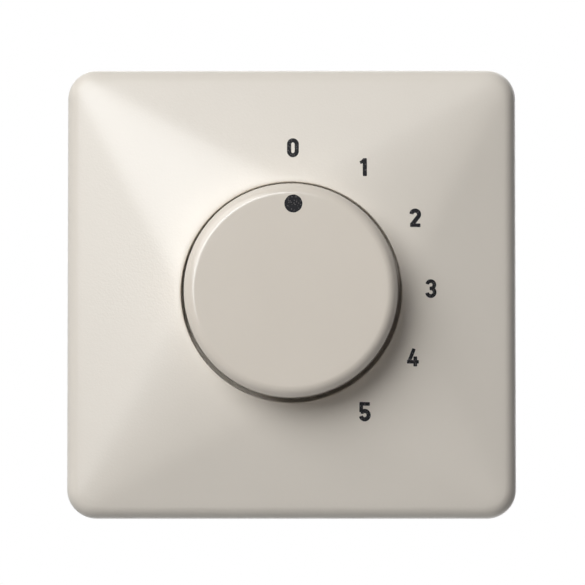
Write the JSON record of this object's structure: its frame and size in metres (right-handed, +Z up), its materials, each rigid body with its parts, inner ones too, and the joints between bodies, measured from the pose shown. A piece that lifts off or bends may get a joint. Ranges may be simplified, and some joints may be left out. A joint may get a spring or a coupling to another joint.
{
  "type": "ventilation control switch",
  "caption": "Square wall plate sloping up to a round well with a large flat knob that turns in steps; a round switch body with wiring tags sits behind a steel frame.",
  "frame": {"origin": "on the knob's axis in the plane of the wall, which is the back of the steel frame and of the cover plate's edge", "axes": "-Y is the front and points from the wall to the room, +Z is up, +X is to the right as seen from the front"},
  "size_m": [0.086, 0.0449, 0.086],
  "materials": {
    "cover_plastic": "moulded, satin, warm white",
    "knob_plastic": "moulded, satin, warm white",
    "body_plastic": "moulded, black",
    "base_plastic": "moulded, dark brown",
    "wheel_plastic": "moulded, natural white",
    "disc_board": "pressed insulating board",
    "zinc_steel": "zinc plated",
    "spring_steel": "plain spring steel",
    "brass": "plain",
    "copper": "plain"
  },
  "bodies": {
    "base": {"cover_plate": "cover_plastic", "bearing_bush": "brass", "cover_nut": "brass", "frame_nut": "zinc_steel", "support_frame": "zinc_steel", "front_housing": "body_plastic", "step_spring": "spring_steel", "insulating_disc": "disc_board", "contact_base": "base_plastic", "step_contact_1": "brass", "step_contact_2": "brass", "step_contact_3": "brass", "step_contact_4": "brass", "step_contact_5": "brass", "common_contact": "brass"},
    "knob": {"knob": "knob_plastic", "knob_clip": "spring_steel", "spindle": "brass", "step_wheel": "wheel_plastic", "rotor": "wheel_plastic", "contact_bar": "copper", "bar_spring": "spring_steel"}
  },
  "joints": [
    {"name": "knob_turn", "type": "hinge", "parent": "base", "child": "knob", "pos_m": [0, 0, 0], "axis": [0, 1, 0], "range_deg": [0, 150], "deforming": ["step_spring"]}
  ]
}
